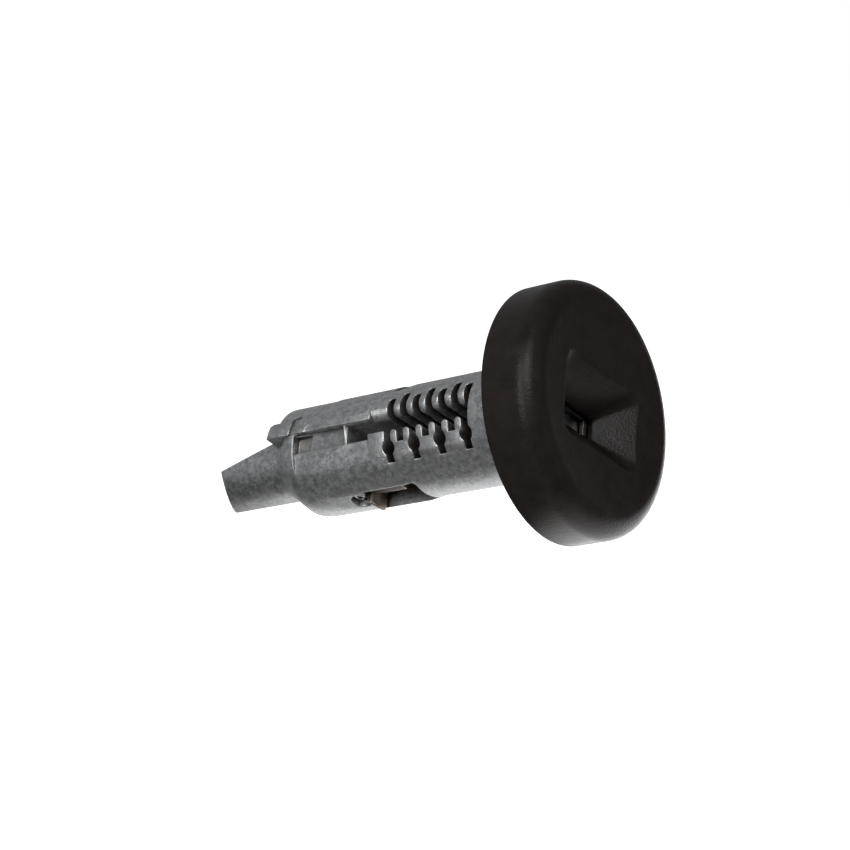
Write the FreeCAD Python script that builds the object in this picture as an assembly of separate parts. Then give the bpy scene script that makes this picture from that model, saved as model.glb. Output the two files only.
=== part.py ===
"""Ignition lock cylinder for a steering column.

Millimetres. The lock lies along X with its cap towards +X, and X = 0 is where the cap seats on the body.
Each piece is drawn in the lock's own section, with its key edge towards +y and its retainer window towards +z.
At the end it is rolled about X to the way the lock is held. The tail's two flats are set out in that position.
"""

import FreeCAD
import Part
import math
import os

V = FreeCAD.Vector
ALONG = V(1, 0, 0)
ROLL = 147.5

# Cap
CAP_R = 19.0
CAP_LENGTH = 8.5
SHOULDER_R = 3.2
SHOULDER_STEPS = 5
DISH = 1.1
BACK_WALL = 2.0
BACK_CAVITY_DEPTH = 6.0
HUB_WALL = 1.65
CAP_RIBS = 12
RIB_WIDTH = 1.2
RIB_BACK_X = 0.4

# Key entry, shared by cap, shutter and body
KEY_Z = 0.55
KEY_SLOT_HALF = 4.4
KEY_SLOT_THICK = 2.86
FUNNEL_MOUTH_HALF_Y = 9.4
FUNNEL_MOUTH_HALF_Z = 6.05
FUNNEL_FLOOR_HALF_Y = 5.7
FUNNEL_FLOOR_HALF_Z = 1.6
FUNNEL_FLOOR_X = 2.5
FUNNEL_MOUTH_X = 7.5

# Body
BODY_R = 8.65
BODY_LENGTH = 43.5
SHOULDER_X = -BODY_LENGTH
REAR_R = BODY_R - 0.1
REAR_STEP_X = SHOULDER_X + 6.0
COLLAR_CHAMFER = 0.25
SPIGOT_R = BODY_R - 0.45
SPIGOT_LENGTH = 1.7
BORE_R = BODY_R - 1.65
BORE_DEPTH = 4.6
BOSS_OFFSET = 0.35
BOSS_SIDE = 105
BOSS_FRONT_X = -21.6
BOSS_RAMP = 2.6
BOSS_REAR_X = SHOULDER_X - 1.5

# Tail, with its two flats
TAIL_R = 5.75
TAIL_LENGTH = 14.5
TAIL_CHAMFER = 0.4
SHOULDER_END_X = SHOULDER_X - 4.6
TAIL_END_X = SHOULDER_END_X - TAIL_LENGTH
SHELL_END_X = SHOULDER_X - 2.9
SHELL_START = -112.5
RAMP_START_X = SHOULDER_X - 0.32
RAMP_SLOPE = 0.253
END_NEAR_X = TAIL_END_X + 3.2
END_LEAN = 0.6

# Lug beside the pocket, and the angles that it spans
LUG_END_X = SHOULDER_X - 4.5
LUG_FRONT_X = SHOULDER_X + 3.0
LUG_SPAN = (-25.2, -6.5)
CROSS_GROOVE_XS = (SHOULDER_X - 0.15, SHOULDER_X + 1.35)
CROSS_GROOVE_DEPTH = 0.45

# Key channel, and the flat pocket behind it
CHANNEL_REAR_X = -32.45
CHANNEL_LOW = KEY_Z - KEY_SLOT_THICK / 2
CHANNEL_HIGH = KEY_Z + KEY_SLOT_THICK / 2
CHANNEL_LIP = 0.53
EDGE_R = 1.6
EDGE_TURN = 20
POCKET_FRONT_X = -27.9
POCKET_REAR_X = SHOULDER_X + 0.95
FLAT_DISTANCE = BODY_R - 0.69
FLAT_TURN = 12.0
FLAT_ZS = (-2.75, 6.0)
GROOVE_FRONT_X = -32.95
NOTCH_LENGTH = 3.05
NOTCH_ZS = (-0.65, 2.03)
DIP_XS = (-25.6, -22.3)
DIP_DEPTH = 0.4
DIP_SIDE = -61

# Tumbler slots, whose ends are shares of the body's radius
SLOTS = 7
SLOT_PITCH = 2.336
SLOT_FIRST_X = -10.3
SLOT_WIDTH = 1.25
SLOT_BEND = 0.4
SLOT_FAR_Y = 2.45 - BODY_R
LONG_SLOT_ZS = (-0.457 * BODY_R, 0.674 * BODY_R)
SHORT_SLOT_ZS = (-0.532 * BODY_R, 0.375 * BODY_R)
SLOT_WELL_R = 1.1
SLOT_WELL_Z = 0.446 * BODY_R
CHANNEL_FRONT_X = SLOT_FIRST_X + SLOT_WIDTH / 2
TIP_R = (SLOT_PITCH - SLOT_WIDTH) / 2

# Clip in the facing grooves of spigot and cap
CLIP_X = 0.5
CLIP_THICK = 0.6
CLIP_GROOVE = 0.5
CAP_GROOVE = 0.45
CLIP_GAP_HALF = 3.2

# Retainer
WINDOW_HALF = 3.3
WINDOW_FRONT_X = -25.2
WINDOW_REAR_X = -32.3
WINDOW_FLOOR = 0.405 * BODY_R
SHELF_FRONT_X = -22.4
SHELF_FLOOR = BODY_R - 2.05
RETAINER_SPRING_X = -33.7
RETAINER_SPRING_Y = 1.3
RETAINER_WELL_R = 1.6
RETAINER_WELL_FLOOR = 0.486 * BODY_R
RETAINER_COIL_R = 1.13
RETAINER_WIRE_R = 0.25
BAR_FLOOR = WINDOW_FLOOR + 1.5
BAR_SHEET = 0.7
RAIL_TOP = BODY_R - 0.75
LIP_TOP = BODY_R + 0.55
TONGUE_UNDER = BODY_R - 0.15

# Sidebar
SIDEBAR_FRONT_X = -7.0
SIDEBAR_REAR_X = -28.4
SIDEBAR_SLOT_HALF = 1.1
SIDEBAR_FLOOR = -0.405 * BODY_R
SIDEBAR_WELL_FLOOR = SIDEBAR_FLOOR + 0.3
SIDEBAR_WELL_R = 0.95
SIDEBAR_SPRING_INSET = 1.3
SIDEBAR_INNER = -0.682 * BODY_R
SIDEBAR_TIP = -BODY_R - 0.9

# Shutter
SHUTTER_CUP_LENGTH = 6.15
SHUTTER_CUP_FACE_X = 1.65
SHUTTER_FACE_THICK = 0.7
SHUTTER_CAVITY_HALF = BORE_R - 2.0
SHUTTER_CAVITY_LOW = -2.7
SHUTTER_CAVITY_HIGH = 2.6
HINGE_X = 0.1
HINGE_Z = -1.75
PIN_R = 0.4
PIN_HALF = BORE_R - 0.5
KNUCKLE_R = 0.75
KNUCKLE_IN = 1.4
DOOR_HALF = SHUTTER_CAVITY_HALF - 0.4
DOOR_TOP = SHUTTER_CAVITY_HIGH - 0.45
DOOR_XS = (0.35, 0.85)
TORSION_WIRE_R = 0.11

# Clearances on the radius or per side
FIXED_GAP = 0.02
RUNNING_GAP = 0.05
SLIDE_GAP = 0.08

# How far cutters stand out of the solids that they cut
REACH = 2.0


def cylinder(r, x0, x1):
    return Part.makeCylinder(r, x1 - x0, V(x0, 0, 0), ALONG)


def ring(r_out, r_in, x0, x1):
    return cylinder(r_out, x0, x1).cut(cylinder(r_in, x0 - 1, x1 + 1))


def block(x, y, z):
    """Box between three pairs of limits."""
    return Part.makeBox(x[1] - x[0], y[1] - y[0], z[1] - z[0], V(x[0], y[0], z[0]))


def across(centre, half):
    return (centre - half, centre + half)


def turned(shape, angle, axis=ALONG, at=V(0, 0, 0)):
    copy = shape.copy()
    copy.rotate(at, axis, angle)
    return copy


def revolved(points, start=0, end=360):
    """Solid swept about X by a closed outline of (x, radius) points, from angle start to end, +y being 0."""
    outline = Part.makePolygon([V(x, r, 0) for x, r in points + points[:1]])
    return turned(Part.Face(outline).revolve(V(0, 0, 0), ALONG, end - start), start)


def sector(r, x0, x1, start, end):
    return revolved([(x0, 0), (x1, 0), (x1, r), (x0, r)], start, end)


def prism_z(points, z0, z1):
    """Solid with a closed outline of (x, y) points, between two heights in z."""
    outline = Part.makePolygon([V(x, y, z0) for x, y in points + points[:1]])
    return Part.Face(outline).extrude(V(0, 0, z1 - z0))


def prism_x(points, x0, x1):
    """Solid with a closed outline of (y, z) points, between two stations in x."""
    outline = Part.makePolygon([V(x0, y, z) for y, z in points + points[:1]])
    return Part.Face(outline).extrude(V(x1 - x0, 0, 0))


def coil(radius, wire, pitch, height, foot, axis):
    """Wire helix that fills the height from its foot along the axis, in short straight runs of eight-sided wire."""
    runs = 12
    rise = height - 2 * wire
    steps = round(rise / pitch * runs)
    points = []
    for i in range(steps + 1):
        turn = 2 * math.pi * i / runs
        points.append(V(radius * math.cos(turn), radius * math.sin(turn), wire + rise * i / steps))
    start = points[1] - points[0]
    side = start.cross(V(0, 0, 1)).normalize()
    rim = []
    for i in range(9):
        spoke = FreeCAD.Rotation(start, 22.5 + 45 * i).multVec(side)
        rim.append(points[0] + spoke * wire)
    tube = Part.Wire(Part.makePolygon(points)).makePipeShell([Part.Wire(Part.makePolygon(rim))], True, False, 1)
    tube.Placement = FreeCAD.Placement(foot, FreeCAD.Rotation(V(0, 0, 1), axis))
    return Part.Solid(tube)


def cap_outline():
    """The cap's turned profile as (x, radius) points, with its rounded shoulder and its dished face."""
    bend_x = CAP_LENGTH - SHOULDER_R
    bend_r = CAP_R - SHOULDER_R
    points = [(0, 0), (0, CAP_R)]
    for i in range(SHOULDER_STEPS + 1):
        angle = math.pi / 2 * i / SHOULDER_STEPS
        points.append((bend_x + SHOULDER_R * math.sin(angle), bend_r + SHOULDER_R * math.cos(angle)))
    points.append((CAP_LENGTH - DISH * 0.75, bend_r / 2))
    points.append((CAP_LENGTH - DISH, 0))
    return points


def funnel():
    """Key funnel: four flat walls that close in from the face towards the slot, carried on past the face."""
    run = FUNNEL_MOUTH_X - FUNNEL_FLOOR_X
    wires = []
    for x in (FUNNEL_FLOOR_X, FUNNEL_MOUTH_X + 3):
        part = (x - FUNNEL_FLOOR_X) / run
        half_y = FUNNEL_FLOOR_HALF_Y + (FUNNEL_MOUTH_HALF_Y - FUNNEL_FLOOR_HALF_Y) * part
        half_z = FUNNEL_FLOOR_HALF_Z + (FUNNEL_MOUTH_HALF_Z - FUNNEL_FLOOR_HALF_Z) * part
        corners = ((-half_y, -half_z), (half_y, -half_z), (half_y, half_z), (-half_y, half_z))
        points = [V(x, y, KEY_Z + z) for y, z in corners]
        wires.append(Part.makePolygon(points + points[:1]))
    return Part.makeLoft(wires, True, True)


def face_cap():
    cap = revolved(cap_outline())
    cavity_r = CAP_R - BACK_WALL
    hub_r = BODY_R + HUB_WALL
    cap = cap.cut(ring(cavity_r, hub_r, -REACH, BACK_CAVITY_DEPTH))
    for i in range(CAP_RIBS):
        rib = block((RIB_BACK_X, BACK_CAVITY_DEPTH), (hub_r - 0.5, cavity_r + 0.5), across(0, RIB_WIDTH / 2))
        cap = cap.fuse(turned(rib, (i + 0.5) * 360 / CAP_RIBS))
    bore = cylinder(SPIGOT_R + RUNNING_GAP, -REACH, SPIGOT_LENGTH + RUNNING_GAP)
    groove = cylinder(SPIGOT_R + CAP_GROOVE, CLIP_X, CLIP_X + CLIP_THICK)
    slot = block((0, FUNNEL_FLOOR_X + 1), across(0, FUNNEL_FLOOR_HALF_Y), across(KEY_Z, FUNNEL_FLOOR_HALF_Z))
    return cap.cut([bore, groove, slot, funnel()])


def body_blank():
    """Turned form of the casting, with the shoulder that runs down to the tail in three cones."""
    return revolved([
        (SPIGOT_LENGTH, 0),
        (TAIL_END_X, 0),
        (TAIL_END_X, TAIL_R - TAIL_CHAMFER),
        (TAIL_END_X + TAIL_CHAMFER, TAIL_R),
        (SHOULDER_END_X, TAIL_R),
        (SHOULDER_END_X + 1.05, TAIL_R + 0.6),
        (SHOULDER_X - 1.1, REAR_R - 0.35),
        (SHOULDER_X, REAR_R),
        (REAR_STEP_X, REAR_R),
        (REAR_STEP_X + 0.3, BODY_R),
        (-COLLAR_CHAMFER, BODY_R),
        (0, BODY_R - COLLAR_CHAMFER),
        (0, SPIGOT_R),
        (SPIGOT_LENGTH, SPIGOT_R),
    ])


def rear_shell():
    """Full-radius wall carried past the shoulder, and the lug beside the flat with one broken corner."""
    start, end = LUG_SPAN
    wall = sector(REAR_R, SHELL_END_X, SHOULDER_X + 0.5, SHELL_START, start)
    lug = sector(BODY_R, LUG_END_X, LUG_FRONT_X, start, end)
    corner = turned(block(across(0, 0.35), (TAIL_R - 1, BODY_R + REACH), across(0, 0.35)), 45, V(0, 1, 0))
    corner.translate(V(LUG_END_X, 0, 0))
    return wall.fuse(lug.cut(turned(corner, start)))


def boss():
    """Raised pad around the retainer window: a cylinder of the body's own radius, set off its axis."""
    pad = revolved([
        (BOSS_FRONT_X, 0),
        (BOSS_REAR_X, 0),
        (BOSS_REAR_X, BODY_R - 1.05),
        (BOSS_REAR_X + 1.1, BODY_R - 0.25),
        (BOSS_REAR_X + 2.3, BODY_R - 0.03),
        (BOSS_REAR_X + 3.5, BODY_R),
        (BOSS_FRONT_X - BOSS_RAMP, BODY_R),
        (BOSS_FRONT_X, BODY_R - BOSS_OFFSET - 0.01),
    ])
    pad.translate(turned(Part.Vertex(0, BOSS_OFFSET, 0), BOSS_SIDE).Point)
    return pad


def keyway():
    """Key slot through the front, and the open channel, which a lip along its lower side narrows."""
    lip_y = KEY_SLOT_HALF + 0.2
    outer = BODY_R + REACH
    slot = block((CHANNEL_REAR_X, SPIGOT_LENGTH + REACH), across(0, KEY_SLOT_HALF), (CHANNEL_LOW, CHANNEL_HIGH))
    inner = block((CHANNEL_REAR_X, CHANNEL_FRONT_X), (0, lip_y), (CHANNEL_LOW - 0.01, CHANNEL_HIGH))
    mouth = block((POCKET_FRONT_X, CHANNEL_FRONT_X), (0, outer), (CHANNEL_LOW - 0.01, CHANNEL_HIGH - CHANNEL_LIP))
    end_x = CHANNEL_REAR_X - 0.3
    rear = prism_z([
        (POCKET_FRONT_X, 0),
        (POCKET_FRONT_X, outer),
        (end_x, outer),
        (end_x, FLAT_DISTANCE + 0.17),
        (CHANNEL_REAR_X, FLAT_DISTANCE - 0.23),
        (CHANNEL_REAR_X, 0),
    ], CHANNEL_LOW - 0.01, CHANNEL_HIGH)
    return slot.fuse([inner, mouth, rear])


def rib_tips(side, tip_z, depth):
    """Corners that are taken off the ribs on one side of the channel, so that each ends in a half-round tip."""
    centre_z = tip_z - side * TIP_R
    tools = []
    for i in range(SLOTS - 1):
        x = SLOT_FIRST_X - (i + 0.5) * SLOT_PITCH
        zs = sorted((centre_z, tip_z + side * 0.05))
        square = block(across(x, TIP_R + 0.05), depth, zs)
        round_end = Part.makeCylinder(TIP_R, depth[1] - depth[0] + 2, V(x, depth[0] - 1, centre_z), V(0, 1, 0))
        tools.append(square.cut(round_end))
    return tools


def rounded_edge():
    """Cutter that rounds the upper edge of the channel along the tumbler slots."""
    centre_r = BODY_R - EDGE_R + 0.02
    y = centre_r * math.cos(math.radians(EDGE_TURN))
    z = -centre_r * math.sin(math.radians(EDGE_TURN))
    bar = block((POCKET_FRONT_X, CHANNEL_FRONT_X), (y, BODY_R + REACH), (z - 0.6, CHANNEL_LOW + 0.1))
    bead = cylinder(EDGE_R, POCKET_FRONT_X - 1, CHANNEL_FRONT_X + 1)
    bead.translate(V(0, y, z))
    return bar.cut(bead)


def tumbler_slot(x, zs):
    """Slot cut from the key edge, with one round corner at its upper end."""
    depth = (SLOT_FAR_Y, BODY_R + REACH)
    rear = x - SLOT_WIDTH / 2
    front = x + SLOT_WIDTH / 2
    low = zs[0]
    main = block((rear, front), depth, (low + SLOT_BEND, zs[1]))
    end = block((rear + SLOT_BEND, front), depth, (low, low + SLOT_BEND + 0.01))
    foot = V(rear + SLOT_BEND, depth[0], low + SLOT_BEND)
    bend = Part.makeCylinder(SLOT_BEND, depth[1] - depth[0], foot, V(0, 1, 0))
    return main.fuse([end, bend])


def tumbler_slots():
    """Seven slots. Every second one hangs lower and has a spring well."""
    tools = []
    for i in range(SLOTS):
        x = SLOT_FIRST_X - i * SLOT_PITCH
        if i % 2 == 0:
            tools.append(tumbler_slot(x, LONG_SLOT_ZS))
            tools.append(Part.makeCylinder(SLOT_WELL_R, BODY_R, V(x, 2, SLOT_WELL_Z), V(0, 1, 0)))
        else:
            tools.append(tumbler_slot(x, SHORT_SLOT_ZS))
    return tools


def rear_pocket():
    """Flat behind the channel, the shallow groove that runs on into it, its notch, and the groove across the lug."""
    outer = BODY_R + REACH
    flat = block((POCKET_REAR_X, POCKET_FRONT_X), (FLAT_DISTANCE, outer), FLAT_ZS)
    groove = prism_z([
        (GROOVE_FRONT_X, FLAT_DISTANCE - 0.73),
        (GROOVE_FRONT_X, outer),
        (POCKET_REAR_X, outer),
        (POCKET_REAR_X, FLAT_DISTANCE - 0.13),
    ], CHANNEL_LOW, CHANNEL_HIGH)
    notch = block((POCKET_REAR_X, POCKET_REAR_X + NOTCH_LENGTH), (FLAT_DISTANCE - 1.03, outer), NOTCH_ZS)
    floor_r = BODY_R - CROSS_GROOVE_DEPTH
    rear, front = CROSS_GROOVE_XS
    cross = revolved([(rear, floor_r), (front, floor_r), (front, outer), (rear, outer)], -30, -6)
    return [turned(flat, FLAT_TURN), groove, notch, cross]


def dip():
    """Shallow dent above the rearmost slot, steep at its rear and gradual in front."""
    rear, front = DIP_XS
    top = BODY_R + 1
    return turned(prism_z([
        (rear, top),
        (rear + 0.1, BODY_R - DIP_DEPTH),
        (rear + 1.0, BODY_R - DIP_DEPTH),
        (front, BODY_R + 0.05),
        (front, top),
    ], -4, 4), DIP_SIDE)


def window():
    """Opening of the retaining bar with its shelf, and the well of its spring."""
    outer = BODY_R + REACH
    pocket = block((WINDOW_REAR_X, WINDOW_FRONT_X), across(0, WINDOW_HALF), (WINDOW_FLOOR, outer))
    shelf = block((WINDOW_FRONT_X - 0.1, SHELF_FRONT_X), across(0, WINDOW_HALF), (SHELF_FLOOR, outer))
    foot = V(RETAINER_SPRING_X, RETAINER_SPRING_Y, RETAINER_WELL_FLOOR)
    well = Part.makeCylinder(RETAINER_WELL_R, BODY_R, foot, V(0, 0, 1))
    return [pocket, shelf, well]


def sidebar_spring_xs():
    return (SIDEBAR_FRONT_X - SIDEBAR_SPRING_INSET, SIDEBAR_REAR_X + SIDEBAR_SPRING_INSET)


def sidebar_slot():
    depth = (-BODY_R - REACH, SIDEBAR_FLOOR)
    tools = [block((SIDEBAR_REAR_X, SIDEBAR_FRONT_X), across(0, SIDEBAR_SLOT_HALF), depth)]
    for x in sidebar_spring_xs():
        tools.append(Part.makeCylinder(SIDEBAR_WELL_R, 2, V(x, 0, SIDEBAR_WELL_FLOOR), V(0, 0, -1)))
    return tools


def tail_flats():
    """Sloped top and oblique end of the tail, in the way the lock is held."""
    far = TAIL_END_X - 2 * BODY_R
    side = 2 * BODY_R
    front = SHELL_END_X - 0.5
    heights = [TAIL_R + RAMP_SLOPE * (x - RAMP_START_X) for x in (front, far)]
    ramp = prism_z([(far, side), (front, side), (front, heights[0]), (far, heights[1])], -side, side)
    ends = [END_NEAR_X - END_LEAN * (y + TAIL_R) for y in (-side, side)]
    end = prism_z([(far, -side), (ends[0], -side), (ends[1], side), (far, side)], -side, side)
    return [turned(ramp, 90), end]


def lock_body():
    body = body_blank().fuse(boss())
    body = body.cut([turned(flat, -ROLL) for flat in tail_flats()]).fuse(rear_shell())
    groove = ring(BODY_R, SPIGOT_R - CLIP_GROOVE, CLIP_X, CLIP_X + CLIP_THICK)
    bore = cylinder(BORE_R, -BORE_DEPTH, SPIGOT_LENGTH + REACH)
    outer = BODY_R + REACH
    tools = [groove, bore, keyway(), rounded_edge(), dip()]
    tools += rib_tips(1, CHANNEL_LOW, (-KEY_SLOT_HALF, outer))
    tools += rib_tips(-1, CHANNEL_HIGH - CHANNEL_LIP, (KEY_SLOT_HALF, outer))
    tools += tumbler_slots() + rear_pocket() + window() + sidebar_slot()
    return turned(body.cut(tools), ROLL)


def cap_clip():
    x0 = CLIP_X + FIXED_GAP
    x1 = CLIP_X + CLIP_THICK - FIXED_GAP
    r_in = SPIGOT_R - CLIP_GROOVE + FIXED_GAP
    r_out = SPIGOT_R + CAP_GROOVE - RUNNING_GAP
    gap = block((x0 - 1, x1 + 1), (0, r_out + REACH), across(0, CLIP_GAP_HALF))
    return turned(ring(r_out, r_in, x0, x1).cut(gap), 180)


def shutter_housing():
    back = SHUTTER_CUP_FACE_X - SHUTTER_CUP_LENGTH
    inner = SHUTTER_CUP_FACE_X - SHUTTER_FACE_THICK
    cup = cylinder(BORE_R - RUNNING_GAP, back, SHUTTER_CUP_FACE_X)
    cavity = block((back - 1, inner), across(0, SHUTTER_CAVITY_HALF), (SHUTTER_CAVITY_LOW, SHUTTER_CAVITY_HIGH))
    slot_x = (inner - 1, SHUTTER_CUP_FACE_X + REACH)
    slot = block(slot_x, across(0, KEY_SLOT_HALF + 0.3), across(KEY_Z, KEY_SLOT_THICK / 2 + 0.02))
    hole = Part.makeCylinder(PIN_R + FIXED_GAP, 2 * BODY_R, V(HINGE_X, -BODY_R, HINGE_Z), V(0, 1, 0))
    return cup.cut([cavity, slot, hole])


def shutter_pin():
    return Part.makeCylinder(PIN_R, 2 * PIN_HALF, V(HINGE_X, -PIN_HALF, HINGE_Z), V(0, 1, 0))


def shutter_door():
    plate = block(DOOR_XS, across(0, DOOR_HALF), (HINGE_Z, DOOR_TOP))
    plate = plate.cut(block((0, 1), across(0, KNUCKLE_IN), (HINGE_Z - 1, HINGE_Z + 0.95)))
    for side in (-DOOR_HALF, KNUCKLE_IN):
        knuckle = Part.makeCylinder(KNUCKLE_R, DOOR_HALF - KNUCKLE_IN, V(HINGE_X, side, HINGE_Z), V(0, 1, 0))
        plate = plate.fuse(knuckle)
    return plate.cut(Part.makeCylinder(PIN_R + RUNNING_GAP, 2 * BODY_R, V(HINGE_X, -BODY_R, HINGE_Z), V(0, 1, 0)))


def shutter_spring():
    """Torsion coil on the pin, one leg behind the door and one on the floor of the cup."""
    wire = 0.11
    radius = PIN_R + wire + 0.06
    pitch = 0.34
    length = 1.7
    turns = coil(radius, wire, pitch, length, V(HINGE_X, -length / 2, HINGE_Z), V(0, 1, 0))
    door_y = wire - length / 2 + pitch * 0.75
    door_leg = Part.makeCylinder(wire, 1.9, V(HINGE_X + 0.13, door_y, HINGE_Z + radius - 0.05), V(0, 0, 1))
    rest = SHUTTER_CAVITY_LOW + 0.01
    cup_leg = Part.makeCylinder(wire, HINGE_Z - radius - rest + 0.06, V(HINGE_X, 0.71, rest), V(0, 0, 1))
    return turns.fuse([door_leg, cup_leg])


def retaining_bar():
    """Folded brass bar: base across the window, upright rail, rear lip, and a short tongue over the spring."""
    rear = WINDOW_REAR_X + SLIDE_GAP
    front = WINDOW_FRONT_X - SLIDE_GAP
    half = WINDOW_HALF - SLIDE_GAP
    base = block((rear, front), across(0, half), (BAR_FLOOR, BAR_FLOOR + BAR_SHEET))
    rail = block((rear + 1.05, front), (half - 2.1, half), (BAR_FLOOR, RAIL_TOP))
    lip = block((rear, rear + BAR_SHEET - 0.1), (-2.2, 1.55), (BAR_FLOOR, LIP_TOP))
    tongue_end = RETAINER_SPRING_X + RETAINER_COIL_R - RETAINER_WIRE_R - 0.1
    tongue = block((tongue_end, rear + 0.1), across(RETAINER_SPRING_Y - 0.2, 0.4), (TONGUE_UNDER, TONGUE_UNDER + 0.4))
    return base.fuse([rail, lip, tongue]).removeSplitter()


def retainer_spring():
    foot = V(RETAINER_SPRING_X, RETAINER_SPRING_Y, RETAINER_WELL_FLOOR)
    height = TONGUE_UNDER - RETAINER_WELL_FLOOR
    return coil(RETAINER_COIL_R, RETAINER_WIRE_R, 0.95, height, foot, V(0, 0, 1))


def sidebar():
    """Bar with a tapered outer edge that locks in the housing and a V edge for the tumblers."""
    half = SIDEBAR_SLOT_HALF - SLIDE_GAP
    flat = half / 3
    outline = [
        (-half, -BODY_R - 0.05),
        (-flat, SIDEBAR_TIP),
        (flat, SIDEBAR_TIP),
        (half, -BODY_R - 0.05),
        (half, SIDEBAR_INNER - 0.6),
        (flat, SIDEBAR_INNER),
        (-flat, SIDEBAR_INNER),
        (-half, SIDEBAR_INNER - 0.6),
    ]
    return prism_x(outline, SIDEBAR_REAR_X + SLIDE_GAP, SIDEBAR_FRONT_X - SLIDE_GAP)


def sidebar_spring(x):
    foot = V(x, 0, SIDEBAR_WELL_FLOOR)
    return coil(0.68, 0.15, 0.6, SIDEBAR_WELL_FLOOR - SIDEBAR_INNER, foot, V(0, 0, -1))


def main():
    os.makedirs("parts", exist_ok=True)
    pieces = {
        "face_cap": face_cap(),
        "cap_clip": cap_clip(),
        "shutter_housing": shutter_housing(),
        "shutter_pin": shutter_pin(),
        "shutter_door": shutter_door(),
        "shutter_spring": shutter_spring(),
        "retaining_bar": retaining_bar(),
        "retainer_spring": retainer_spring(),
        "sidebar": sidebar(),
        "sidebar_spring_front": sidebar_spring(sidebar_spring_xs()[0]),
        "sidebar_spring_rear": sidebar_spring(sidebar_spring_xs()[1]),
    }
    for name, shape in pieces.items():
        turned(shape, ROLL).exportStep("parts/" + name + ".step")
    lock_body().exportStep("parts/lock_body.step")


main()
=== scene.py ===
from math import cos, pi, radians, sin

import bmesh
import bpy
from mathutils import Matrix, Vector


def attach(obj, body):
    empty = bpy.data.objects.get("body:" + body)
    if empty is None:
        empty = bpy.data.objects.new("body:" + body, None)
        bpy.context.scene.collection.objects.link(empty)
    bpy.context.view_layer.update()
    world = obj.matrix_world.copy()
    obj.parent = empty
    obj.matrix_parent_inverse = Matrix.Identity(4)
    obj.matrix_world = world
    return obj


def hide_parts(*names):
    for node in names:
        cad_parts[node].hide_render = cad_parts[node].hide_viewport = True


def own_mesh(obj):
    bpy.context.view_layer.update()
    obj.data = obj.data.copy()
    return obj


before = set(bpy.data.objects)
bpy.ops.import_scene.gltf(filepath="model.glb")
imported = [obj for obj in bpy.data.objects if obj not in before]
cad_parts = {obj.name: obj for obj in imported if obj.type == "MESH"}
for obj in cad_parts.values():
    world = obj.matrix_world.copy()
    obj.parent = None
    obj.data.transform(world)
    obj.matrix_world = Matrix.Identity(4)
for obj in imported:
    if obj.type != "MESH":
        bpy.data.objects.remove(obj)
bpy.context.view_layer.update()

# Studio: a white sweep with one soft lamp above to the right and a tall narrow one in front. As polished metal sees
# it, the room is dim and darker to the right, and the table shows a painted pool of light behind and under the lock.
# The camera stands where the photograph was taken, and leans a little to one side.
scene = bpy.context.scene
scene.view_settings.view_transform = "Standard"

forward = Vector((-0.5725, 0.8169, -0.0698)).normalized()
level = forward.cross(Vector((0, 0, 1))).normalized()
upright = level.cross(forward)
lean = radians(13.83)
up = upright * cos(lean) + level * sin(lean)
right = forward.cross(up)
stand = Matrix.Translation((0.1637, -0.2663, 0.02514))
camera = bpy.data.objects.new("camera", bpy.data.cameras.new("camera"))
camera.data.lens = 91.57
camera.data.clip_start = 0.01
camera.matrix_world = stand @ Matrix((right, up, -forward)).transposed().to_4x4()
scene.collection.objects.link(camera)
scene.camera = camera

lock_middle = Vector((-0.02, 0, 0))


def lamp(name, place, size, power):
    """Soft box of a width and height that faces the object."""
    data = bpy.data.lights.new(name, "AREA")
    data.shape = "RECTANGLE"
    data.size, data.size_y = size
    data.energy = power
    obj = bpy.data.objects.new(name, data)
    aim = lock_middle - Vector(place)
    obj.matrix_world = Matrix.Translation(place) @ aim.to_track_quat("-Z", "Y").to_matrix().to_4x4()
    scene.collection.objects.link(obj)


lamp("softbox_key", place=(0.42, -0.38, 0.50), size=(0.35, 0.35), power=3.0)
lamp("softbox_front", place=(0.05, -0.58, 0.37), size=(0.20, 0.55), power=2.4)

world = bpy.data.worlds.new("room")
scene.world = world
world.use_nodes = True
room = world.node_tree
room.nodes.clear()


def node(tree, kind, inputs=None, **settings):
    """New shader node with its settings and the values or links of its inputs."""
    made = tree.nodes.new(kind)
    for key, value in settings.items():
        setattr(made, key, value)
    for key, value in (inputs or {}).items():
        if isinstance(value, bpy.types.NodeSocket):
            tree.links.new(value, made.inputs[key])
        else:
            made.inputs[key].default_value = value
    return made


def combine(tree, operation, first, second):
    """One value worked out from two."""
    return node(tree, "ShaderNodeMath", {0: first, 1: second}, operation=operation).outputs[0]


def ray_kinds(tree):
    """Two masks: rays of the camera, and rays of gloss and glass."""
    path = node(tree, "ShaderNodeLightPath")
    mirrored = combine(tree, "MAXIMUM", path.outputs["Is Glossy Ray"], path.outputs["Is Transmission Ray"])
    return path.outputs["Is Camera Ray"], mirrored


def ramp(tree, value, start, end, low=0.0, high=1.0):
    """Smooth step from low to high while the value goes from start to end."""
    made = node(tree, "ShaderNodeMapRange", {0: value, 1: start, 2: end, 3: low, 4: high},
                interpolation_type="SMOOTHSTEP")
    return made.outputs[0]


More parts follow.
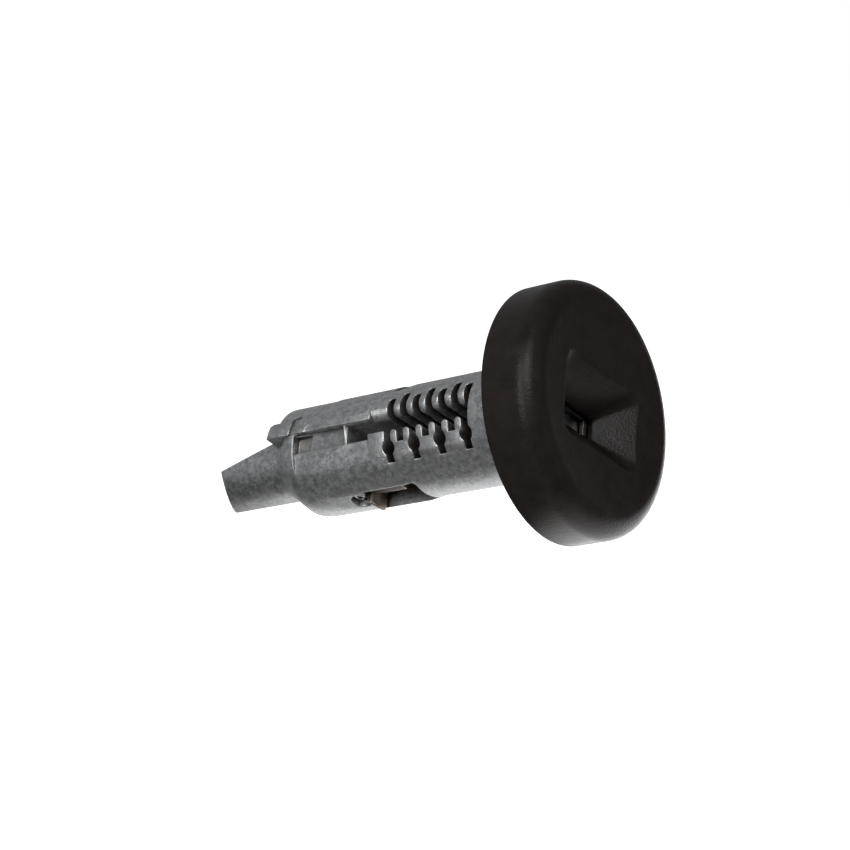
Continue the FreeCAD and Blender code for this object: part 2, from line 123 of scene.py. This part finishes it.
WHITE = (1, 1, 1, 1)
heading = node(room, "ShaderNodeTexCoord").outputs["Generated"]
sideways = node(room, "ShaderNodeSeparateXYZ", {0: heading}).outputs[0]
gleam = ramp(room, sideways, start=-0.45, end=0.25, low=0.31, high=0.06)
in_view, in_mirror = ray_kinds(room)
soft = node(room, "ShaderNodeBackground", {"Color": WHITE, "Strength": 0.36})
mirror_view = node(room, "ShaderNodeBackground", {"Color": (0.95, 0.98, 1, 1), "Strength": gleam})
white = node(room, "ShaderNodeBackground", {"Color": WHITE, "Strength": 1.0})
unseen = node(room, "ShaderNodeMixShader", {0: in_mirror, 1: soft.outputs[0], 2: mirror_view.outputs[0]})
mixed = node(room, "ShaderNodeMixShader", {0: in_view, 1: unseen.outputs[0], 2: white.outputs[0]})
node(room, "ShaderNodeOutputWorld", {"Surface": mixed.outputs[0]})


def new_object(name, bm):
    """Object at the origin from a bmesh, smooth except across sharp edges."""
    mesh = bpy.data.meshes.new(name)
    bm.to_mesh(mesh)
    bm.free()
    mesh.shade_smooth()
    mesh.set_sharp_from_angle(angle=radians(32))
    obj = bpy.data.objects.new(name, mesh)
    scene.collection.objects.link(obj)
    return obj


def blank_material(name):
    """New material, and its node tree with nothing in it."""
    made = bpy.data.materials.new(name)
    made.use_nodes = True
    made.node_tree.nodes.clear()
    return made, made.node_tree


table_height = -0.0215
bm = bmesh.new()
bmesh.ops.create_circle(bm, cap_ends=True, radius=2.5, segments=64)
bmesh.ops.translate(bm, vec=(0, 0, table_height), verts=bm.verts)
floor = new_object("floor", bm)

# Painted light: emission that only reflections see, a lit pool behind the lock and painted shadow in front of it.
# The painted pool of light fades out beyond the tail and the cap. Its front edge comes nearer, and it is brighter,
# beside the cap.
paper, tree = blank_material("paper_sweep")
matt = node(tree, "ShaderNodeBsdfDiffuse", {"Color": (0.82, 0.82, 0.82, 1)})
glow = node(tree, "ShaderNodeEmission", {"Color": WHITE, "Strength": 0.90})
lit = node(tree, "ShaderNodeAddShader", {0: matt.outputs[0], 1: glow.outputs[0]})
place = node(tree, "ShaderNodeTexCoord").outputs["Object"]
across, depth, _ = node(tree, "ShaderNodeSeparateXYZ", {0: place}).outputs
left_end = ramp(tree, across, start=-0.085, end=-0.058, low=0.25)
right_end = ramp(tree, across, start=0.021, end=0.006, low=0.05)
nearer = combine(tree, "ADD", depth, ramp(tree, across, start=-0.012, end=0.0, high=0.012))
# Painted shadow: the pool is dim in front of the lock, where the lock's own shadow would fall.
front_edge = ramp(tree, nearer, start=-0.010, end=0.003, low=0.14, high=1.5)
under_cap = ramp(tree, across, start=-0.006, end=0.002, low=1.0, high=2.0)
painted_light_pool = left_end
for factor in (right_end, front_edge, under_cap):
    painted_light_pool = combine(tree, "MULTIPLY", painted_light_pool, factor)
sheen = node(tree, "ShaderNodeEmission", {"Color": WHITE, "Strength": painted_light_pool})
in_view, in_mirror = ray_kinds(tree)
unseen = node(tree, "ShaderNodeMixShader", {0: in_mirror, 1: matt.outputs[0], 2: sheen.outputs[0]})
paper_mix = node(tree, "ShaderNodeMixShader", {0: in_view, 1: unseen.outputs[0], 2: lit.outputs[0]})
node(tree, "ShaderNodeOutputMaterial", {"Surface": paper_mix.outputs[0]})
floor.data.materials.append(paper)


# Lock body: one zinc die casting, whose parting lines are trimmed. It is tumbled after casting and neither plated
# nor painted, so its edges are broken, and its skin is mottled and faintly grained.
def cast_copy(node_name, name, edge):
    """The solid's own mesh with its flat faces made whole again and its sharp edges broken."""
    same_point = 2e-6
    flat_within = radians(0.6)
    sharp_from = radians(28)
    bm = bmesh.new()
    bm.from_mesh(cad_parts[node_name].data)
    bmesh.ops.remove_doubles(bm, verts=bm.verts, dist=same_point)
    bmesh.ops.dissolve_limit(bm, angle_limit=flat_within, verts=bm.verts, edges=bm.edges)
    sharp = [e for e in bm.edges if len(e.link_faces) == 2 and e.calc_face_angle(0) > sharp_from]
    bmesh.ops.bevel(bm, geom=sharp, offset=edge, segments=2, profile=0.5, affect="EDGES",
                    clamp_overlap=True, material=-1)
    return new_object(name, bm)


def group(name, inputs, outputs):
    """Empty shader group with named sockets."""
    made = bpy.data.node_groups.new(name, "ShaderNodeTree")
    for label, kind, value in inputs:
        made.interface.new_socket(label, in_out="INPUT", socket_type=kind).default_value = value
    for label, kind in outputs:
        made.interface.new_socket(label, in_out="OUTPUT", socket_type=kind)
    return made, made.nodes.new("NodeGroupInput"), made.nodes.new("NodeGroupOutput")


def straight(tree, value, start, end, low=0.0, high=1.0):
    """Like ramp, but in a straight line between its two ends."""
    return node(tree, "ShaderNodeMapRange", {0: value, 1: start, 2: end, 3: low, 4: high}).outputs[0]


def blend(tree, amount, first, second, kind="MIX"):
    """Colour made of two, mixed or multiplied."""
    made = node(tree, "ShaderNodeMix", {0: amount, 6: first, 7: second}, data_type="RGBA", blend_type=kind)
    return made.outputs[2]


COLOUR = "NodeSocketColor"
FLOAT = "NodeSocketFloat"

mottle, given, result = group(
    "cast_skin",
    [("Dark", COLOUR, (0.1, 0.1, 0.1, 1)), ("Light", COLOUR, (0.2, 0.2, 0.2, 1)), ("Tint", COLOUR, (0.2, 0.2, 0.2, 1)),
     ("Patch Scale", FLOAT, 300.0), ("Grain Scale", FLOAT, 5000.0), ("Roughness", FLOAT, 0.5)],
    [("Color", COLOUR), ("Roughness", FLOAT), ("Height", FLOAT)],
)
place = node(mottle, "ShaderNodeTexCoord").outputs["Object"]
patches = node(mottle, "ShaderNodeTexNoise", {
    "Vector": place, "Scale": given.outputs["Patch Scale"], "Detail": 8.0, "Roughness": 0.68}).outputs[0]
spread = straight(mottle, patches, 0.40, 0.60)
tone = blend(mottle, spread, given.outputs["Dark"], given.outputs["Light"])
stain_scale = combine(mottle, "MULTIPLY", given.outputs["Patch Scale"], 0.45)
stains = node(mottle, "ShaderNodeTexNoise", {
    "Vector": place, "Scale": stain_scale, "Detail": 3.0, "Distortion": 0.6}).outputs[0]
stained = straight(mottle, stains, 0.5, 0.72, high=0.55)
tinted = blend(mottle, stained, tone, given.outputs["Tint"])
grain = node(mottle, "ShaderNodeTexNoise", {
    "Vector": place, "Scale": given.outputs["Grain Scale"], "Detail": 2.0}).outputs[0]
flecks = straight(mottle, grain, 0.3, 0.7, low=0.82, high=1.18)
speckled = blend(mottle, 1.0, tinted, flecks, "MULTIPLY")
mottle.links.new(speckled, result.inputs["Color"])
rough = straight(mottle, patches, 0.3, 0.7, low=-0.08, high=0.08)
mottle.links.new(combine(mottle, "ADD", rough, given.outputs["Roughness"]), result.inputs["Roughness"])
coarse = combine(mottle, "MULTIPLY", patches, 2.0)
mottle.links.new(combine(mottle, "ADD", coarse, grain), result.inputs["Height"])

wear, given, result = group(
    "edge_wear_and_corner_shade",
    [("Color", COLOUR, (0.2, 0.2, 0.2, 1)), ("Bare", COLOUR, (0.4, 0.4, 0.4, 1)), ("Width", FLOAT, 0.0003),
     ("Amount", FLOAT, 0.6), ("Corner Shade", COLOUR, (0.1, 0.1, 0.1, 1))],
    [("Color", COLOUR)],
)
place = node(wear, "ShaderNodeTexCoord").outputs["Object"]
rounded = node(wear, "ShaderNodeBevel", {"Radius": given.outputs["Width"]}, samples=4)
plain = node(wear, "ShaderNodeNewGeometry")
facing = node(wear, "ShaderNodeVectorMath", {0: rounded.outputs[0], 1: plain.outputs["True Normal"]},
              operation="DOT_PRODUCT")
bent = straight(wear, facing.outputs["Value"], 0.995, 0.86)
breaks = node(wear, "ShaderNodeTexNoise", {"Vector": place, "Scale": 900.0, "Detail": 3.0}).outputs[0]
uneven = straight(wear, breaks, 0.35, 0.6)
shown = combine(wear, "MULTIPLY", combine(wear, "MULTIPLY", bent, uneven), given.outputs["Amount"])
bared = blend(wear, shown, given.outputs["Color"], given.outputs["Bare"])
# Painted shade: ambient occlusion darkens the colour towards the corner shade colour in corners and recesses.
open_air = node(wear, "ShaderNodeAmbientOcclusion", {"Distance": 0.0028}, samples=8).outputs["AO"]
unshaded = straight(wear, open_air, 0.28, 0.86)
corner_shade = blend(wear, unshaded, given.outputs["Corner Shade"], WHITE)
wear.links.new(blend(wear, 1.0, bared, corner_shade, "MULTIPLY"), result.inputs["Color"])


def metal(name, dark, light, tint, bare, roughness, metallic, patch, relief=0.00002, worn=0.6, rounding=0.0001,
          wear_width=0.0003, painted_corner_shade=(0.130, 0.098, 0.076)):
    """Metal with a mottled skin, rounded edges that are worn brighter, and painted shade in its corners."""
    made, tree = blank_material(name)
    skin = node(tree, "ShaderNodeGroup", {
        "Dark": (*dark, 1), "Light": (*light, 1), "Tint": (*tint, 1), "Patch Scale": patch, "Grain Scale": 5000.0,
        "Roughness": roughness}, node_tree=mottle)
    edges = node(tree, "ShaderNodeGroup", {
        "Color": skin.outputs["Color"], "Bare": (*bare, 1), "Width": wear_width, "Amount": worn,
        "Corner Shade": (*painted_corner_shade, 1)}, node_tree=wear)
    soft_edge = node(tree, "ShaderNodeBevel", {"Radius": rounding}, samples=6)
    bump = node(tree, "ShaderNodeBump", {
        "Height": skin.outputs["Height"], "Distance": relief, "Strength": 1.0, "Normal": soft_edge.outputs[0]})
    surface = node(tree, "ShaderNodeBsdfPrincipled", {
        "Base Color": edges.outputs["Color"], "Roughness": skin.outputs["Roughness"], "Metallic": metallic,
        "Normal": bump.outputs[0]})
    node(tree, "ShaderNodeOutputMaterial", {"Surface": surface.outputs[0]})
    return made


zinc = metal("die_cast_zinc", dark=(0.31, 0.315, 0.32), light=(0.50, 0.507, 0.515), tint=(0.43, 0.42, 0.40),
             bare=(0.85, 0.85, 0.85), roughness=0.39, metallic=0.9, patch=1100.0, relief=0.00003, worn=0.36,
             rounding=0.00025)
body = cast_copy("lock_body", "casting", edge=0.00010)
body.data.materials.append(zinc)
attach(body, "lock")
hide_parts("lock_body")


# Cap: injection-moulded black plastic with a fine spark-eroded grain. It is one shell, stiffened by ribs behind,
# and snaps on the spigot of the casting. Its face is dished, and a funnel with four flat walls leads the key in.
cap_radius = 0.019
cap_length = 0.0085
shoulder = 0.0032
shoulder_steps = 16
face_radius = cap_radius - shoulder
face_dish = 0.0011
face_steps = 20
hub_radius = 0.0103
wall_radius = 0.0170
hollow_depth = 0.0060


def turn(outline, steps):
    """Closed bmesh from (x, r) points turned about X. The first and last point may lie on the axis."""
    bm = bmesh.new()
    ring = [bm.verts.new((x, r, 0)) for x, r in outline]
    edges = [bm.edges.new(pair) for pair in zip(ring, ring[1:])]
    bmesh.ops.spin(bm, geom=ring + edges, cent=(0, 0, 0), axis=(1, 0, 0), angle=2 * pi, steps=steps, use_merge=True)
    bmesh.ops.remove_doubles(bm, verts=bm.verts, dist=1e-7)
    bmesh.ops.recalc_face_normals(bm, faces=bm.faces)
    return bm


outline = [(0, 0), (0, hub_radius), (hollow_depth, hub_radius), (hollow_depth, wall_radius), (0, wall_radius),
           (0, cap_radius)]
for i in range(shoulder_steps + 1):
    a = pi / 2 * i / shoulder_steps
    outline.append((cap_length - shoulder + shoulder * sin(a), face_radius + shoulder * cos(a)))
for i in range(1, face_steps + 1):
    r = face_radius * (1 - i / face_steps)
    outline.append((cap_length - face_dish * (1 - (r / face_radius) ** 2), r))
cap = new_object("key_cap", turn(outline, steps=192))


def cut(target, cutter, operation="DIFFERENCE"):
    """Solid operation by a second bmesh, which is used up."""
    tool = new_object("tool", cutter)
    solid = target.modifiers.new("solid", "BOOLEAN")
    solid.operation = operation
    solid.solver = "EXACT"
    solid.object = tool
    depsgraph = bpy.context.evaluated_depsgraph_get()
    mesh = bpy.data.meshes.new_from_object(target.evaluated_get(depsgraph))
    target.modifiers.remove(solid)
    old = target.data
    target.data = mesh
    bpy.data.meshes.remove(old)
    bpy.data.objects.remove(tool)


def box_mesh(x, y, z):
    """Box between two ends on each axis."""
    bm = bmesh.new()
    bmesh.ops.create_cube(bm, size=1)
    bmesh.ops.scale(bm, vec=(x[1] - x[0], y[1] - y[0], z[1] - z[0]), verts=bm.verts)
    bmesh.ops.translate(bm, vec=((x[0] + x[1]) / 2, (y[0] + y[1]) / 2, (z[0] + z[1]) / 2), verts=bm.verts)
    return bm


# The lock lies rolled about its own axis, so what is shaped in this file is made upright and rolled afterwards
roll = Matrix.Rotation(radians(147.5), 4, "X")

# Ribs run from hub to wall, a little into both
rib_count = 12
rib_half = 0.0006
ribs = bmesh.new()
for i in range(rib_count):
    bm = box_mesh((0.0004, 0.0061), (0.0102, 0.0171), (-rib_half, rib_half))
    spoke = Matrix.Rotation(2 * pi * (i + 0.5) / rib_count, 4, "X")
    bmesh.ops.transform(bm, matrix=roll @ spoke, verts=bm.verts)
    rib = bpy.data.meshes.new("rib")
    bm.to_mesh(rib)
    bm.free()
    ribs.from_mesh(rib)
    bpy.data.meshes.remove(rib)
cut(cap, ribs, "UNION")

# The four walls of the funnel meet in corners that widen towards the face. The slot lies beside the axis.
slot_middle = 0.00055
corner_steps = 8
foot = (0.0025, 0.0057, 0.0016, 0.00025)
mouth = (0.0105, 0.01162, 0.00872, 0.00305)
bm = bmesh.new()
rims = []
for x, half_y, half_z, corner in (foot, mouth):
    rim = []
    for quarter, (side_y, side_z) in enumerate(((1, 1), (-1, 1), (-1, -1), (1, -1))):
        for i in range(corner_steps + 1):
            a = pi / 2 * (quarter + i / corner_steps)
            rim.append(bm.verts.new((x, side_y * (half_y - corner) + corner * cos(a),
                                     side_z * (half_z - corner) + corner * sin(a) + slot_middle)))
    rims.append(rim)
    bm.faces.new(rim)
rim_count = len(rims[0])
for i in range(rim_count):
    j = (i + 1) % rim_count
    bm.faces.new((rims[0][i], rims[0][j], rims[1][j], rims[1][i]))
bmesh.ops.recalc_face_normals(bm, faces=bm.faces)
bmesh.ops.transform(bm, matrix=roll, verts=bm.verts)
cut(cap, bm)

# Key slot, from the funnel through to the back
bm = box_mesh((-0.001, 0.004), (-0.0057, 0.0057), (-0.00105, 0.00215))
bmesh.ops.transform(bm, matrix=roll, verts=bm.verts)
cut(cap, bm)

# Bore for the spigot, with the groove of the snap ring
bore_radius = 0.00825
groove_radius = 0.00865
bm = turn([(-0.001, 0), (-0.001, bore_radius), (0.0005, bore_radius), (0.0005, groove_radius),
           (0.0011, groove_radius), (0.0011, bore_radius), (0.00175, bore_radius), (0.00175, 0)], steps=96)
cut(cap, bm)

soften = cap.modifiers.new("soften", "BEVEL")
soften.width = 0.00022
soften.segments = 3
soften.limit_method = "ANGLE"
soften.angle_limit = radians(30)

grainy, given, result = group(
    "moulded_grain",
    [("Color", COLOUR, (0.01, 0.01, 0.01, 1)), ("Scale", FLOAT, 3400.0), ("Roughness", FLOAT, 0.33)],
    [("Color", COLOUR), ("Roughness", FLOAT), ("Height", FLOAT)],
)
place = node(grainy, "ShaderNodeTexCoord").outputs["Object"]
cells = node(grainy, "ShaderNodeTexVoronoi", {"Vector": place, "Scale": given.outputs["Scale"]}, feature="SMOOTH_F1")
cloud = node(grainy, "ShaderNodeTexNoise", {"Vector": place, "Scale": 420.0, "Detail": 4.0}).outputs[0]
shade = straight(grainy, cloud, 0.3, 0.7, low=0.8, high=1.2)
grainy.links.new(blend(grainy, 1.0, given.outputs["Color"], shade, "MULTIPLY"), result.inputs["Color"])
gloss = straight(grainy, cloud, 0.3, 0.7, low=-0.04, high=0.05)
grainy.links.new(combine(grainy, "ADD", gloss, given.outputs["Roughness"]), result.inputs["Roughness"])
grainy.links.new(cells.outputs["Distance"], result.inputs["Height"])

black, tree = blank_material("grained_black_plastic")
skin = node(tree, "ShaderNodeGroup", {
    "Color": (0.0120, 0.0092, 0.0082, 1), "Scale": 3400.0, "Roughness": 0.33}, node_tree=grainy)
soft_edge = node(tree, "ShaderNodeBevel", {"Radius": 0.0006}, samples=6)
bump = node(tree, "ShaderNodeBump", {
    "Height": skin.outputs["Height"], "Distance": 0.00003, "Strength": 1.0, "Normal": soft_edge.outputs[0]})
# Painted shade: ambient occlusion darkens the colour in the funnel and the other recesses.
open_air = node(tree, "ShaderNodeAmbientOcclusion", {"Distance": 0.007}, samples=6).outputs["AO"]
painted_recess_shade = ramp(tree, open_air, start=0.35, end=0.95, low=0.35)
surface = node(tree, "ShaderNodeBsdfPrincipled", {
    "Base Color": blend(tree, 1.0, skin.outputs["Color"], painted_recess_shade, "MULTIPLY"),
    "Roughness": skin.outputs["Roughness"], "Specular IOR Level": 0.12, "Normal": bump.outputs[0]})
node(tree, "ShaderNodeOutputMaterial", {"Surface": surface.outputs[0]})
cap.data.materials.clear()
cap.data.materials.append(black)
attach(cap, "lock")
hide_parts("face_cap")


# Retaining bar: a strip of brass, stamped and folded, that stands out of the window and locks the plug in its housing.
# Its tongue rests on a coil spring in a round well behind the window.
# Painted shade: the brass is coloured dark brown, far darker than bare brass, and only its worn edges show bright
# brass.
brass = metal("stamped_brass", dark=(0.035, 0.026, 0.02), light=(0.075, 0.058, 0.046), tint=(0.055, 0.038, 0.025),
              bare=(0.70, 0.60, 0.51), roughness=0.50, metallic=0.85, patch=500.0, worn=0.9, wear_width=0.0002,
              painted_corner_shade=(0.06, 0.04, 0.025))
bar = cast_copy("retaining_bar", "brass_bar", edge=0.00008)
bar.data.materials.append(brass)
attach(bar, "retainer")
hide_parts("retaining_bar")


# Sidebar: a brass bar with a tapered outer edge, in a slot on the side away from the window.
# Two coil springs push it outwards.
sidebar = cast_copy("sidebar", "brass_sidebar", edge=0.00008)
# It has the same dark brass, coloured as painted shade.
sidebar.data.materials.append(brass)
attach(sidebar, "locking_bar")
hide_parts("sidebar")


# Coil springs: drawn steel wire, wound with open turns and left bright. Each pushes its piece along its own axis,
# and is fixed to the lock at its foot.
steel = metal("bright_spring_steel", dark=(0.55, 0.55, 0.55), light=(0.75, 0.75, 0.74), tint=(0.6, 0.6, 0.6),
              bare=(0.85, 0.85, 0.85), roughness=0.28, metallic=1.0, patch=900.0, relief=0.000003, worn=0.2,
              painted_corner_shade=(0.75, 0.75, 0.75))


def coil_spring(name, radius, wire, pitch, height, foot, axis, node_name):
    """Round section of the wire spun upwards into a helix, with its two ends capped."""
    steps_per_turn = 36
    climb = height - 2 * wire
    turns = climb / pitch
    steps = round(turns * steps_per_turn)
    bm = bmesh.new()
    bmesh.ops.create_circle(bm, cap_ends=True, radius=wire, segments=14)
    bmesh.ops.rotate(bm, cent=(0, 0, 0), matrix=Matrix.Rotation(pi / 2, 3, "X"), verts=bm.verts)
    bmesh.ops.translate(bm, vec=(radius, 0, wire), verts=bm.verts)
    bmesh.ops.spin(bm, geom=bm.verts[:] + bm.edges[:] + bm.faces[:], cent=(0, 0, 0), axis=(0, 0, 1),
                   dvec=(0, 0, climb / steps), angle=2 * pi * turns, steps=steps, use_merge=False)
    bmesh.ops.remove_doubles(bm, verts=bm.verts, dist=1e-7)
    bmesh.ops.recalc_face_normals(bm, faces=bm.faces)
    lay = Vector((0, 0, 1)).rotation_difference(Vector(axis)).to_matrix().to_4x4()
    bmesh.ops.transform(bm, matrix=roll @ Matrix.Translation(foot) @ lay, verts=bm.verts)
    coil = new_object(name, bm)
    coil.data.materials.append(steel)
    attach(coil, "lock")
    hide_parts(node_name)
    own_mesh(coil)


coil_spring("retainer_coil", radius=0.00113, wire=0.00025, pitch=0.00095, height=0.004296,
            foot=(-0.0337, 0.0013, 0.004204), axis=(0, 0, 1), node_name="retainer_spring")
for name, foot_x, node_name in (("sidebar_coil_front", -0.0083, "sidebar_spring_front"),
                                ("sidebar_coil_rear", -0.0271, "sidebar_spring_rear")):
    coil_spring(name, radius=0.00068, wire=0.00015, pitch=0.0006, height=0.002696,
                foot=(foot_x, 0, -0.003203), axis=(0, 0, -1), node_name=node_name)


# Key shutter: a pressed steel cup in the front bore with a hinged door that a torsion spring holds shut.
# A spring-steel ring snaps into the grooves of spigot and cap.
sheet = metal("pressed_sheet_steel", dark=(0.30, 0.30, 0.30), light=(0.45, 0.45, 0.44), tint=(0.36, 0.35, 0.33),
              bare=(0.7, 0.7, 0.7), roughness=0.33, metallic=1.0, patch=600.0, relief=0.000006)
for node_name, name, ridden, finish, slot_name in (
    ("shutter_housing", "shutter_cup", "lock", sheet, "pressed_steel"),
    ("shutter_door", "shutter_flap", "shutter", sheet, "pressed_steel"),
    ("shutter_pin", "hinge_pin", "lock", steel, "spring_steel"),
    ("shutter_spring", "shutter_torsion_coil", "lock", steel, "spring_steel"),
    ("cap_clip", "snap_ring", "lock", steel, "spring_steel"),
):
    piece = cast_copy(node_name, name, edge=0.00004)
    piece.data.materials.append(finish)
    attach(piece, ridden)
    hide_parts(node_name)
